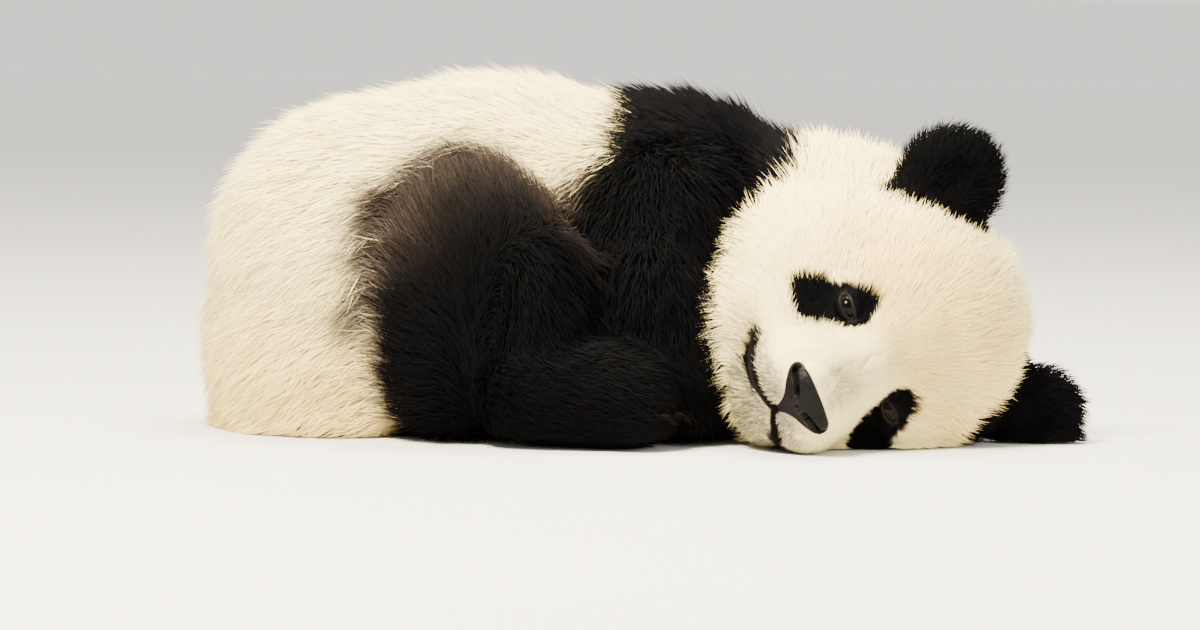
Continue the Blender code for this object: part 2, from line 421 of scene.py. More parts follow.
def from_leather(head):
    """Millimetres outside the bare leather of the nose, a broad T with round wings."""
    mirrored = [(-right, up) for right, up in LEATHER_OUTLINE[-2:0:-1]]
    gap = outside(head[:, [0, 2]], rounded(LEATHER_OUTLINE + mirrored))
    return np.where(head[:, 1] > LEATHER_FORWARD, gap, FAR)


def patches(head):
    """1 on the dark patches round the eyes, which slant down and out."""
    places = np.column_stack([np.abs(head[:, 0]), head[:, 2]])
    ragged = 1.1 * noise(head, 6, 3) + 0.8 * noise(head, 2.5, 4)
    gap = outside(places, rounded(PATCH_OUTLINE)) + ragged
    return ramp(1.6, -1.6, gap) * ramp(45, 60, head[:, 1])


# ---------------- skin

# The depth of the coat on each part, in millimetres.
COAT_DEPTH = {
    "trunk": 19, "shoulders": 18, "neck": 17, "tail": 18, "thigh": 17, "shank": 13, "hind_foot": 6,
    "upper_arm": 15, "forearm": 12, "forepaw": 6, "ear": 8, "head": 15, "nose": 0.3,
}  # fmt: skip

# The way the coat lies on each part, where no rule of its own gives it, as ahead, left and up.
COAT_LIE = {
    "trunk": (-0.85, 0, -0.60), "tail": (-0.65, 0, -0.8), "shoulders": (-0.75, 0, -0.70),
    "shank": (0.35, 0, -1), "hind_foot": (1, 0, -0.25), "upper_arm": (0.10, 0, -1),
    "forearm": (0.8, 0, -0.5), "forepaw": (1, 0, -0.2),
}  # fmt: skip
FOLDED_ARM_LIE = (0.62, 0.72, -0.3)


def kind(node):
    return node.removesuffix("_right").removesuffix("_left")


def fine_places(points, reach):
    """True where the mesh has to be finer: at the nose and eyes, and on the face or along the mouth."""
    head = in_head(points)
    spots = [from_line(head, NOSE_MIDDLE) < max(reach, 30)]
    spots += [np.linalg.norm(points - eye.centre, axis=1) / MM < max(reach, 24) for eye in EYES]
    if reach:
        spots += [np.linalg.norm(head - FACE_MIDDLE, axis=1) < reach * 1.2]
    else:
        spots += [from_line(head * (side, 1, 1), MOUTH) < 8 for side in (1, -1)]
    return np.any(spots, axis=0)


class Skin:
    """The one skin: its shape, and the values on it that the coat and the materials share.

    Heights and places along the body are in metres, and distances on the face in millimetres.
    """

    def __init__(self):
        points, triangles, _ = joined(FLESH_NODES + EYE_NODES)
        points, triangles = wrapped(points, triangles, SKIN_VOXEL)
        points, triangles = kept(points, triangles, Links(triangles, len(points)).largest_part())
        for reach in FINER_WITHIN:
            points, triangles = split(points, triangles, fine_places(points, reach))
        self.points, self.triangles = points, triangles
        self.links = Links(triangles, len(points))
        self.settle_parts()
        self.draw_in()
        self.carve_lids()
        self.carve_muzzle()
        self.points[:, 2] = np.maximum(self.points[:, 2], 0)
        self.normals = vertex_normals(self.points, self.triangles)
        self.head = in_head(self.points)
        self.find_lie()
        self.mark_dark()
        self.mark_bare()
        self.mark_tints()

    def settle_parts(self):
        """The node nearest to each vertex, and how near the dark and the pale nodes are."""
        tree, owner = tree_of(FLESH_NODES)
        nearest = [tree.find_nearest(point)[2] for point in self.points]
        self.part = np.array([kind(name) for name in FLESH_NODES])[owner[nearest]]
        self.node = np.array(FLESH_NODES)[owner[nearest]]
        self.to_dark = from_nodes(DARK_NODES, self.points) / MM
        self.to_head = from_nodes(["head"], self.points) / MM
        self.edge = from_nodes(CREAM_NODES, self.points) / MM - self.to_dark

    def on(self, *parts):
        """True for the vertices of these parts."""
        return np.isin(self.part, parts)

    def table(self, values, rounds):
        """A value for each part, spread smoothly over the skin."""
        found = np.array([values[name] for name in self.part], float)
        return self.links.smooth(found, rounds)

    def draw_in(self):
        """Smooths away the seams between solids, then draws the surface in by the coat's depth."""
        head = in_head(self.points)
        fine = self.on("head", "nose", "forepaw", "hind_foot", "ear")
        strength = self.links.smooth(np.where(fine, 0.12, 0.55), 6)
        self.points = self.links.smooth(self.points, 14, strength)
        self.fill_neck()
        self.measure_face(head)
        depth = np.array([COAT_DEPTH[name] for name in self.part], float)
        jowl = ramp(-55, -85, head[:, 2]) * ramp(150, 110, head[:, 1])
        depth = np.where(self.part == "head", 3.0 + 12 * ramp(112, 20, head[:, 1]) + 4 * jowl, depth)
        depth = mixed(depth, 1.6, ramp(9, 4, self.from_mouth))
        depth = mixed(depth, 1.2, ramp(4, 1, self.from_leather) * (head[:, 1] > LEATHER_FORWARD))
        depth = self.links.smooth(depth, 12, np.where(self.part == "nose", 0.1, 0.5))
        normals = self.links.smooth(vertex_normals(self.points, self.triangles), 5, 0.5)
        # Where the animal rests on the floor the coat is pressed flat.
        resting = ramp(-0.1, -0.7, normals[:, 2]) * ramp(0.05, 0.01, self.points[:, 2])
        self.depth = depth * (1 - 0.75 * resting)
        self.points = self.points - unit(normals) * self.depth[:, None] * MM
        self.points = self.links.smooth(self.points, 6, strength)

    def fill_neck(self):
        """Fills the fold between the neck and the back of the head, so that one runs into the other."""
        apart = np.maximum(from_nodes(["neck"], self.points), from_nodes(["head"], self.points)) / MM
        near = ramp(60, 25, apart) * self.on("head", "neck")
        near = self.links.smooth(near, 6)[:, None]
        for _ in range(NECK_ROUNDS):
            normals = vertex_normals(self.points, self.triangles)
            move = self.links.average(self.points) - self.points
            out = (move * normals).sum(axis=1, keepdims=True)
            self.points += move * near * np.where(out > 0, 0.75, 0.12)

    def measure_face(self, head):
        """How far each vertex is from the lines of the face, measured on the outer surface."""
        folded = head * np.where(head[:, :1] < 0, (-1, 1, 1), (1, 1, 1))
        self.from_mouth = from_line(folded, MOUTH)
        self.from_nostril = from_line(folded, NOSTRIL)
        self.from_philtrum = from_line(folded, PHILTRUM)
        self.from_crease = from_line(folded, CREASE)
        self.from_leather = from_leather(head)

    def carve_lids(self):
        """Draws the skin round each eyeball on to it, open between the lids."""
        for eye in EYES:
            offset = self.points - eye.centre
            reach = np.linalg.norm(offset, axis=1)
            ahead = offset @ eye.gaze > 0.0
            gap = eye.lid_distance(self.points)
            lid = EYE_RADIUS + mixed(-LID_BEHIND, LID_THICKNESS, ramp(-0.9, 0.1, gap))
            lid = lid + 0.0006 * ramp(0.2, 1.4, gap) - 0.0008 * bell(gap, 3.4, 1.0)
            share = ramp(10.0, 2.4, gap) * ahead * (reach < 0.036)
            self.points += unit(offset) * (share * (lid - reach))[:, None]

    def carve_muzzle(self):
        """Presses in the mouth, philtrum, nostrils and crease, and swells the lips and the leather."""
        normals = self.links.smooth(vertex_normals(self.points, self.triangles), 3)
        push = 0.8 * bell(self.from_mouth, 5.5, 2.2) - 4.0 * bell(self.from_mouth, 0, 2.1)
        push -= 1.6 * bell(self.from_philtrum, 0, 1.1)
        push += 1.0 * bell(self.from_nostril, 5.2, 1.8) * (self.from_leather < 1)
        push -= 6.0 * ramp(3.9, 1.3, self.from_nostril)
        push += 1.5 * ramp(0.6, -2.2, self.from_leather) - 0.8 * bell(self.from_leather, 1.2, 0.9)
        push -= 1.2 * bell(self.from_crease, 0, 1.8)
        self.points += unit(normals) * push[:, None] * MM
        self.points = self.links.smooth(self.points, 3, 0.5 * ramp(36, 30, self.from_philtrum))

    def find_lie(self):
        """The direction in which the coat lies, as a tangent at each vertex."""
        lie = np.array([COAT_LIE.get(name, (0, 0, 0)) for name in self.part], float)
        lie[np.isin(self.node, ["forearm_right", "forepaw_right"])] = FOLDED_ARM_LIE
        for side, sign in SIDES:
            on_thigh = self.node == "thigh_" + side
            knee = np.array(centre_of("thigh_" + side)) + (0.05, 0.03 * sign, -0.08)
            lie[on_thigh] = unit(self.points[on_thigh] - knee)
            on_ear = self.node == "ear_" + side
            base = from_head(np.multiply(EAR_BASE, (sign, 1, 1)))
            lie[on_ear] = unit(self.points[on_ear] - base)
        from_face = self.on("head", "nose", "neck")
        lie[from_face] = unit(self.points[from_face] - from_head(AHEAD_OF_NOSE))
        self.lids = np.full(len(self.points), FAR)
        for eye in EYES:
            offset = self.points - eye.centre
            gap = eye.lid_distance(self.points)
            near = (offset @ eye.gaze > 0) & (np.linalg.norm(offset, axis=1) < 0.03)
            self.lids = np.where(near, np.minimum(self.lids, gap), self.lids)
            across = unit(offset - np.outer(offset @ eye.gaze, eye.gaze))
            lie = mixed(lie, across + 0.5 * lie, (ramp(8, 2, gap) * near)[:, None])
        # Where two parts meet, one lie turns into the other, over a longer way at the nape.
        nape = self.on("neck", "shoulders") | self.on("head", "nose") & (self.head[:, 1] < 40)
        for turn in range(NAPE_LIE_ROUNDS):
            lie = self.along(lie) + 1e-6
            share = np.where(nape | (turn < LIE_ROUNDS), 1.0, 0.0)[:, None]
            lie = mixed(lie, self.links.average(lie), share)
        self.lie = self.along(lie)

    def along(self, directions):
        """Each direction laid along the skin."""
        out = (directions * self.normals).sum(axis=1, keepdims=True)
        return unit(directions - self.normals * out)

    def mark_dark(self):
        """How dark each place is: the parts' own colour and its fringes, the patches and the lips."""
        head, points = self.head, self.points
        ahead, height = points[:, 0], points[:, 2]
        on_body = self.on("trunk", "thigh", "shank", "hind_foot")
        on_head = self.on("head", "nose")
        # The dark of the ears runs a little way on to the head, that of the shoulders on to the
        # neck, and that of the thighs up the flank.
        by_ears = on_head & (np.abs(head[:, 0]) > 40) & (head[:, 1] < 60) & (head[:, 2] > 55)
        by_ears &= self.to_dark < 40
        by_band = self.on("neck") & (from_nodes(["shoulders", "upper_arm_right"], points) < 0.06)
        flank = on_body & (from_nodes(["thigh_right", "thigh_left"], points) < 0.05)
        flank &= self.to_dark < 60
        withers = ramp(0.20, 0.27, height) * (ahead > -0.10)
        past = np.select(
            [on_body, by_ears, by_band, self.on("shoulders")],
            [mixed(4.0, -6.0, withers), 18.0, 15.0, mixed(4.0, 0.0, withers)], 0.0,
        )  # fmt: skip
        near_floor = ramp(0.12, 0.06, height) * (ahead < -0.12)
        by_thigh = self.links.smooth(flank, 8)
        past = mixed(self.links.smooth(past, 8), 11.0, by_thigh * (ahead < -0.09))
        past = mixed(past, -8.0, by_thigh * near_floor)
        soft = self.links.smooth(np.select([flank, on_body], [34.0, 12.0], 3.5), 8)
        soft = mixed(soft, 12.0, near_floor)
        wander = 5.0 * noise(points, 0.035, 11) + 3.0 * noise(points, 0.012, 12)
        dark = ramp(-1, 1, (self.edge + wander * soft / 9 + past) / soft)
        # The flank is dark all through where it runs in between thigh and elbow.
        for side, _ in SIDES:
            elbow = ["shoulders", "upper_arm_" + side, "forearm_" + side]
            between = from_nodes(["thigh_" + side], points) + from_nodes(elbow, points)
            fold = ramp(0.085, 0.060, between) * ramp(0.215, 0.195, height) * on_body
            dark = np.maximum(dark, fold)
        self.blend = self.links.smooth(flank, 10)
        lips = ramp(9.5, 5.5, self.from_mouth + 1.5 * noise(head, 4, 43))
        lips *= ramp(8, 26, np.abs(head[:, 0])) * ramp(80, 92, head[:, 1])
        # The patches show at the tips, which lie a little way along the coat from the roots.
        along = 1.35 * self.depth * ramp(3, 9, self.lids) * MM
        marks = np.maximum(patches(in_head(points + self.lie * along[:, None])), lips) * on_head
        under_ear = ramp(0.05, 0.03, height) * ramp(60, 45, self.to_dark) * (ahead > 0.22)
        self.dark = np.max([self.links.smooth(dark, 3), marks, under_ear], axis=0)

    def mark_bare(self):
        """Where no coat grows: the leather, the rims of the lids and the line of the mouth."""
        self.leather = ramp(0.5, -0.5, self.from_leather) * self.on("head", "nose")
        # Inside the nostrils the leather is painted near black, as painted shade in the hollows.
        self.nostril = ramp(3.8, 2.4, self.from_nostril) * self.leather
        self.lips = ramp(5.2, 3.6, self.from_mouth)
        self.rim = ramp(3.6, 2.0, self.lids)
        bare = 2 * ramp(0.4, -0.4, self.from_leather)
        bare += ramp(2.8, 1.6, self.lids) + ramp(4.0, 2.8, self.from_mouth)
        self.bare = np.clip(bare, 0, 1)

    def mark_tints(self):
        """Where the dark coat is brownish, and where the cream one is warmer or grey, partly as painted
        shade low on the body.
        """
        head, height = self.head, self.points[:, 2]
        on_head = self.on("head", "nose")
        top = ramp(0.10, 0.20, height) * self.on("thigh", "trunk", "shank")
        self.brown = self.links.smooth(top * ramp(46, 2, np.abs(self.edge)), 6)
        # Painted shade: low on the trunk and tail the cream turns darker and warmer. The forehead's
        # warmth, the clouds and the whiter muzzle are the coat's own colour.
        low = ramp(0.17, 0.03, height) * self.on("trunk", "tail")
        clouds = noise(self.points, 0.05, 21) + 0.6 * noise(self.points, 0.018, 22)
        forehead = on_head * ramp(0, 50, head[:, 2]) * ramp(20, 70, head[:, 1])
        muzzle = on_head * ramp(70, 25, from_line(head, MUZZLE_TOP))
        warm = 0.15 + 0.95 * low + 0.15 * clouds + 0.85 * forehead - 0.35 * muzzle
        self.warm = np.clip(self.links.smooth(warm, 5), 0, 1)
        chin = ramp(-52, -72, head[:, 2]) * ramp(70, 95, head[:, 1])
        bridge = ramp(26, 8, np.abs(head[:, 0])) * ramp(20, -15, head[:, 2]) * ramp(112, 128, head[:, 1])
        blotch = 0.8 + 0.3 * noise(head, 9, 41) + 0.2 * noise(head, 3, 42)
        grey = on_head * (1.0 * chin + 0.62 * bridge) * blotch
        self.grey = np.clip(self.links.smooth(grey, 4), 0, 1)


# ---------------- materials


class Nodes:
    """Short calls to build a material's nodes, from numbers, colours and the outputs of nodes."""

    def __init__(self, name):
        self.material = bpy.data.materials.new(name)
        self.material.use_nodes = True
        self.tree = self.material.node_tree
        self.shader = self.tree.nodes["Principled BSDF"]

    def new(self, kind, **settings):
        node = self.tree.nodes.new(kind)
        for name, value in settings.items():
            setattr(node, name, value)
        return node

    def put(self, value, socket):
        if isinstance(value, tuple):
            value = (*value, 1)
        if isinstance(value, (int, float, tuple)):
            socket.default_value = value
        else:
            self.tree.links.new(value, socket)

    def set(self, **values):
        for name, value in values.items():
            self.put(value, self.shader.inputs[name.replace("_", " ")])

    def place(self):
        return self.new("ShaderNodeTexCoord").outputs["Object"]

    def value(self, name):
        return self.new("ShaderNodeAttribute", attribute_name=name).outputs["Fac"]

    def math(self, operation, *values):
        node = self.new("ShaderNodeMath", operation=operation)
        for value, socket in zip(values, node.inputs):
            self.put(value, socket)
        return node.outputs[0]

    def mix(self, share, first, second, blend="MIX"):
        node = self.new("ShaderNodeMix", data_type="RGBA", blend_type=blend)
        for index, value in ((0, share), (6, first), (7, second)):
            self.put(value, node.inputs[index])
        return node.outputs[2]

    def fit(self, value, low, high, to_low, to_high):
        node = self.new("ShaderNodeMapRange")
        for each, socket in zip((value, low, high, to_low, to_high), node.inputs):
            self.put(each, socket)
        return node.outputs[0]

    def noise(self, scale, detail=3.0):
        node = self.new("ShaderNodeTexNoise")
        for name, value in (("Vector", self.place()), ("Scale", scale), ("Detail", detail)):
            self.put(value, node.inputs[name])
        return node.outputs["Fac"]

    def bump(self, height, strength, distance):
        node = self.new("ShaderNodeBump")
        for name, value in (("Strength", strength), ("Distance", distance), ("Height", height)):
            self.put(value, node.inputs[name])
        self.set(Normal=node.outputs[0])


CREAM = (0.95, 0.83, 0.40)
# The darker, warmer cream is the forehead's own tone, and also painted shade low on the body.
WARM = (0.905, 0.68, 0.255)
GREY = (0.13, 0.12, 0.10)
FRINGE = (0.130, 0.098, 0.080)
HIDE = (0.42, 0.33, 0.23)
BLACK = (0.0018, 0.0018, 0.0024)
BROWN = (0.028, 0.020, 0.016)


def fur_colour(nodes):
    """Cream or black by the marking, warmer or browner where the values on the mesh say so; the warmth
    low on the body is painted shade.
    """
    cream = nodes.mix(nodes.value("warm"), CREAM, WARM)
    cream = nodes.mix(nodes.value("grey"), cream, GREY)
    black = nodes.mix(nodes.value("brown"), BLACK, BROWN)
    dark = nodes.value("dark")
    edge = nodes.mix(nodes.fit(dark, 0, 0.6, 0, 1), cream, FRINGE)
    return nodes.mix(nodes.fit(dark, 0.6, 1, 0, 1), edge, black)


def coat_material():
    nodes = Nodes("coat_fur")
    colour = fur_colour(nodes)
    # Painted shade: each tuft is darker towards its root, where the coat shades itself. The tone and the
    # patches are the tufts' own colour.
    depth = nodes.fit(nodes.value("tip"), 0, 0.9, 0.84, 1.03)
    painted_root_shade_and_tone = nodes.math("MULTIPLY", depth, nodes.value("tone"))
    patchy = nodes.fit(nodes.noise(28), 0.3, 0.7, 0.95, 1.04)
    painted_root_shade_and_tone = nodes.math("MULTIPLY", painted_root_shade_and_tone, patchy)
    colour = nodes.mix(1.0, colour, painted_root_shade_and_tone, "MULTIPLY")
    nodes.set(Base_Color=colour, Roughness=0.70, Specular_IOR_Level=0.025)
    return nodes.material


def skin_material():
    nodes = Nodes("skin_hide")
    hide = nodes.mix(nodes.value("dark"), HIDE, BLACK)
    colour = nodes.mix(0.45, fur_colour(nodes), hide)
    grain = nodes.noise(420, 4)
    lid = nodes.mix(grain, (0.003, 0.0025, 0.0025), (0.011, 0.0085, 0.0085))
    colour = nodes.mix(nodes.value("rim"), colour, lid)
    pad = nodes.mix(grain, (0.0022, 0.0019, 0.0023), (0.0062, 0.0052, 0.0060))
    colour = nodes.mix(nodes.value("leather"), colour, pad)
    # Painted shade: the hollows of the nostrils near black.
    colour = nodes.mix(nodes.value("nostril"), colour, (0.002, 0.002, 0.002))
    lip = nodes.mix(grain, (0.0016, 0.0012, 0.0012), (0.0055, 0.0040, 0.0038))
    colour = nodes.mix(nodes.value("lips"), colour, lip)
    wet = nodes.math("MAXIMUM", nodes.value("leather"), nodes.value("rim"))
    rough = nodes.fit(wet, 0, 1, 0.80, 0.40)
    nodes.set(Base_Color=colour, Roughness=rough, Specular_IOR_Level=0.05)
    cells = nodes.new("ShaderNodeTexVoronoi")
    nodes.put(nodes.place(), cells.inputs["Vector"])
    nodes.put(620, cells.inputs["Scale"])
    pebble = nodes.math("MULTIPLY", cells.outputs["Distance"], nodes.value("leather"))
    nodes.bump(nodes.math("ADD", pebble, nodes.math("MULTIPLY", grain, 0.4)), 0.35, 0.0004)
    return nodes.material


def eye_material():
    nodes = Nodes("eye_brown")
    offset = nodes.value("pupil")
    streak = nodes.noise(900, 4)
    iris = nodes.mix(streak, (0.0034, 0.0021, 0.0014), (0.0016, 0.0010, 0.0008))
    colour = nodes.mix(nodes.fit(offset, 0.30, 0.36, 0, 1), (0.0008, 0.0008, 0.0008), iris)
    colour = nodes.mix(nodes.fit(offset, 0.72, 0.82, 0, 1), colour, (0.0035, 0.0025, 0.0022))
    rough = nodes.fit(nodes.noise(300), 0, 1, 0.04, 0.10)
    nodes.set(Base_Color=colour, Roughness=rough, Specular_IOR_Level=0.04)
    nodes.set(Coat_Weight=0.06, Coat_Roughness=0.02)
    return nodes.material


def claw_material():
    nodes = Nodes("claw_horn")
    grain = nodes.noise(350, 4)
    colour = nodes.mix(grain, (0.0012, 0.0010, 0.0009), (0.0036, 0.0030, 0.0026))
    rough = nodes.fit(grain, 0, 1, 0.50, 0.65)
    nodes.set(Base_Color=colour, Roughness=rough, Specular_IOR_Level=0.02)
    nodes.bump(grain, 0.3, 0.0003)
    return nodes.material


# ---------------- pieces


def skin_piece(skin):
    mesh = mesh_from("skin", skin.points, skin.triangles)
    for label in ("dark", "warm", "brown", "grey", "leather", "lips", "nostril", "rim"):
        add_values(mesh, label, getattr(skin, label))
    mesh.materials.append(skin_material())
    piece = piece_from("skin", mesh)
    bpy.context.view_layer.objects.active = piece
    piece.select_set(True)
    mesh.uv_layers.new(name="OFBake")
    bpy.ops.object.mode_set(mode="EDIT")
    bpy.ops.mesh.select_all(action="SELECT")
    bpy.ops.uv.smart_project(angle_limit=math.radians(66), island_margin=0.002)
    bpy.ops.object.mode_set(mode="OBJECT")
    piece.select_set(False)
    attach(piece, "root")
    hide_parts(*FLESH_NODES)
    corners = np.empty(len(mesh.loops) * 2, np.float32)
    mesh.uv_layers["OFBake"].data.foreach_get("uv", corners)
    skin.unwrap = corners.reshape(-1, 3, 2)
    return piece


def eye_piece(eye):
    """An eyeball with a low cornea, coloured by its distance from the pupil."""
    rings, spokes = 28, 48
    angle = np.linspace(0, math.pi, rings + 1)[1:-1]
    turn = np.arange(spokes) * 2 * math.pi / spokes
    swell = EYE_RADIUS + CORNEA * np.exp(-1.4 * (angle / 0.62) ** 2)
    along = (swell * np.cos(angle))[:, None] + 0 * turn
    out = (swell * np.sin(angle))[:, None]
    points = (
        along[..., None] * eye.gaze
        + (out * np.cos(turn))[..., None] * eye.outward
        + (out * np.sin(turn))[..., None] * eye.up
    ).reshape(-1, 3)
    poles = [eye.gaze * (EYE_RADIUS + CORNEA), -eye.gaze * EYE_RADIUS]
    points = np.vstack([points, poles]) + eye.centre
    last = len(points) - 2
    triangles = []
    for ring in range(rings - 2):
        for spoke in range(spokes):
            after = (spoke + 1) % spokes
            a, b = ring * spokes + spoke, ring * spokes + after
            triangles += [(a, a + spokes, b), (b, a + spokes, b + spokes)]
    for spoke in range(spokes):
        after = (spoke + 1) % spokes
        triangles.append((last, spoke, after))
        base = (rings - 2) * spokes
        triangles.append((base + after, base + spoke, last + 1))
    triangles = np.array(triangles)
    if np.cross(eye.outward, eye.up) @ eye.gaze < 0:
        triangles = triangles[:, ::-1]
    mesh = mesh_from("eyeball_" + eye.side, points, triangles)
    from_gaze = np.arccos(np.clip(unit(points - eye.centre) @ eye.gaze, -1, 1))
    add_values(mesh, "pupil", from_gaze / 0.75)
    piece = piece_from("eyeball_" + eye.side, mesh)
    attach(piece, "root")
    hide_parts("eye_" + eye.side)
    return piece


def claw_pieces(material):
    """Each claw as its solid, rounded."""
    for name in CLAW_NODES:
        mesh = NODES[name].data.copy()
        mesh.materials.clear()
        mesh.materials.append(material)
        mesh.shade_smooth()
        piece = piece_from("horn_" + name, mesh)
        rounding = piece.modifiers.new("round", "SUBSURF")
        rounding.levels = rounding.render_levels = 2
        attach(piece, "root")
        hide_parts(name)


# ---------------- coat

# On each part: length and width of a tuft in millimetres, its lift in degrees, and the skin in
# square millimetres that each tuft has to itself.
TUFTS = {
    "trunk": (35, 1.00, 29, 4.7), "shoulders": (32, 1.05, 33, 6.0), "neck": (32, 0.90, 34, 4.0),
    "tail": (33, 1.05, 33, 5.0), "thigh": (32, 1.00, 36, 5.2), "shank": (26, 1.00, 30, 6.0),
    "hind_foot": (17, 0.90, 22, 3.0), "upper_arm": (29, 1.05, 31, 6.2), "forearm": (24, 1.00, 29, 6.2),
    "forepaw": (20, 0.90, 20, 3.0), "ear": (17, 0.85, 42, 2.6), "head": (25, 0.90, 34, 3.2),
    "nose": (5, 0.60, 18, 0.9),
}  # fmt: skip

# The pieces that the coat is cut into, with the parts and the material slot of each.
GROUPS = {
    "head": (("head", "nose"), "cream_fur"),
    "ears": (("ear",), "black_fur"),
    "neck": (("neck",), "cream_fur"),
    "shoulders": (("shoulders",), "black_fur"),
    "trunk": (("trunk", "tail"), "cream_fur"),
    "hind_legs": (("thigh", "shank", "hind_foot"), "black_fur"),
    "forelegs": (("upper_arm", "forearm", "forepaw"), "black_fur"),
}

# A tuft over this length in millimetres has a bend at its middle.
LONG_TUFT = 14
TUFTS_TO_A_LOCK = 9
# How far under the skin each tuft starts, in metres.
ROOT_DEPTH = 0.0006
# The strip that each tuft has on the unwrap, round its root's place there.
UNWRAP_LENGTH = 0.003
UNWRAP_HALF_WIDTH = 0.0007


class Coat:
    """The tufts: their roots on the skin, and the shape and tint of each."""

    def __init__(self, skin):
        self.skin = skin
        self.random = np.random.default_rng(SEED)
        self.plan()
        self.place_roots()
        self.grow()
        self.gather()
        self.turn()
        self.tint()

    def plan(self):
        """The length, width and lift of the tufts on each part of the skin, and the room of each."""
        skin, head = self.skin, self.skin.head
        length, width, lift, room = (
            skin.table({name: row[column] for name, row in TUFTS.items()}, rounds)
            for column, rounds in enumerate((10, 10, 10, 4))
        )
        on_head = skin.links.smooth(skin.on("head"), 4)
        face = ramp(20, 100, head[:, 1]) * on_head
        length = mixed(length, mixed(15.0, 6.0, ramp(60, 128, head[:, 1])), face)
        width = mixed(width, 0.62, face)
        lift = mixed(lift, mixed(32.0, 24.0, ramp(60, 120, head[:, 1])), face)
        room = mixed(room, 0.85, face)
        jaw = on_head * ramp(-64, -88, head[:, 2]) * ramp(125, 95, head[:, 1])
        # The black coat is short where the cheek lies on it, and every coat is where it meets the floor.
        pressed = ramp(32, 12, skin.to_head) * skin.on("shoulders", "upper_arm", "forearm")
        pressed = skin.links.smooth(pressed, 4)
        floor = ramp(0.05, 0.01, skin.points[:, 2])
        length = (length + 10 * jaw) * (1 - 0.5 * pressed) * (1 - 0.3 * floor)
        lift = (lift + 6 * jaw) * (1 - 0.5 * pressed)
        length = length - 9 * on_head * ramp(34, 22, skin.to_dark) * (head[:, 2] > 45)
        near_eye = ramp(15, 3, skin.lids)
        near_lip = ramp(9, 3, skin.from_mouth) * (head[:, 1] > 85)
        length = mixed(mixed(length, 3.2, near_eye), 4.2, near_lip)
        near = np.maximum(near_eye, near_lip)
        self.length, self.lift = length, lift
        self.width, self.room = mixed(width, 0.5, near), mixed(room, 0.5, near)

    def place_roots(self):
        """The roots, spread evenly over the skin, as triangles and shares of their corners."""
        skin = self.skin
        corners = skin.points[skin.triangles]
        across = np.cross(corners[:, 1] - corners[:, 0], corners[:, 2] - corners[:, 0])
        area = np.linalg.norm(across, axis=1) / 2 / MM**2
        facing = skin.normals[skin.triangles].mean(axis=1)[:, 2]
        # The coat is thin under the belly, and there is none where the skin is bare.
        hidden = ramp(-0.6, -0.95, facing) * ramp(0.025, 0.012, corners[:, :, 2].mean(axis=1))
        wanted = area / self.room[skin.triangles].mean(axis=1) * (1 - 0.85 * hidden) * COAT_SHARE
        wanted = wanted * ramp(0.75, 0.35, skin.bare[skin.triangles].max(axis=1))
        total = np.cumsum(wanted)
        self.count = int(total[-1])
        place = np.arange(self.count) + self.random.uniform(0, 1, self.count)
        chosen = np.searchsorted(total, place * total[-1] / self.count).clip(0, len(area) - 1)
        first, second = self.random.uniform(0, 1, (2, self.count))
        over = first + second > 1
        first, second = np.where(over, 1 - first, first), np.where(over, 1 - second, second)
        self.shares = np.column_stack([1 - first - second, first, second])
        self.corners = skin.triangles[chosen]
        self.root = self.at_roots(skin.points)
        self.normal = unit(self.at_roots(skin.normals))
        self.uv = (skin.unwrap[chosen] * self.shares[..., None]).sum(axis=1)
        self.part = skin.part[self.corners[:, 0]]

    def at_roots(self, values):
        """The skin's values at the roots."""
        shares = self.shares if values.ndim == 1 else self.shares[..., None]
        return (values[self.corners] * shares).sum(axis=1)

    def vary(self, spread, limit=9):
        """One number for each tuft, round zero."""
        return spread * self.random.normal(0, 1, self.count).clip(-limit, limit)

    def grow(self):
        """Each tuft's spine of three points, steep at the root and lower towards the tip."""
        length = self.at_roots(self.length)
        self.long = length > LONG_TUFT
        length = length * (1 + self.vary(0.20, 2)) * (1 + 0.10 * noise(self.root, 0.02, 31))
        width = self.at_roots(self.width) * self.random.uniform(0.75, 1.2, self.count)
        self.half = (width * MM / 2)[:, None]
        lift = self.at_roots(self.lift) + self.vary(6) + 5 * noise(self.root, 0.012, 32)
        swing = self.vary(12) + 16 * noise(self.root, 0.028, 33) + 9 * noise(self.root, 0.009, 34)
        lie = unit(self.at_roots(self.skin.lie))
        swing = np.radians(swing)[:, None]
        lie = lie * np.cos(swing) + np.cross(self.normal, lie) * np.sin(swing)
        self.side = np.cross(self.normal, lie)
        bend = self.vary(0.10)[:, None]
        spine = [self.root - self.normal * ROOT_DEPTH]
        for turn, more in ((1.15, 1), (0.78, 2)):
            rise = np.radians(lift * turn)[:, None]
            aim = lie * np.cos(rise) + self.normal * np.sin(rise) + self.side * bend * more
            spine.append(spine[-1] + unit(aim) * (length / 2 * MM)[:, None])
        self.spine = np.stack(spine, axis=1)

    def gather(self):
        """Draws the tufts together towards some of them, so that the coat falls in small locks."""
        leaders = self.random.choice(self.count, max(self.count // TUFTS_TO_A_LOCK, 1), replace=False)
        tree = KDTree(len(leaders))
        for index, leader in enumerate(leaders):
            tree.insert(self.root[leader], index)
        tree.balance()
        nearest = leaders[[tree.find(place)[1] for place in self.root]]
        pull = self.random.uniform(0.10, 0.50, self.count)[:, None]
        for row, share in ((1, 0.35), (2, 1.0)):
            own = self.spine[:, row]
            self.spine[:, row] = own + (self.spine[nearest, row] - own) * pull * share

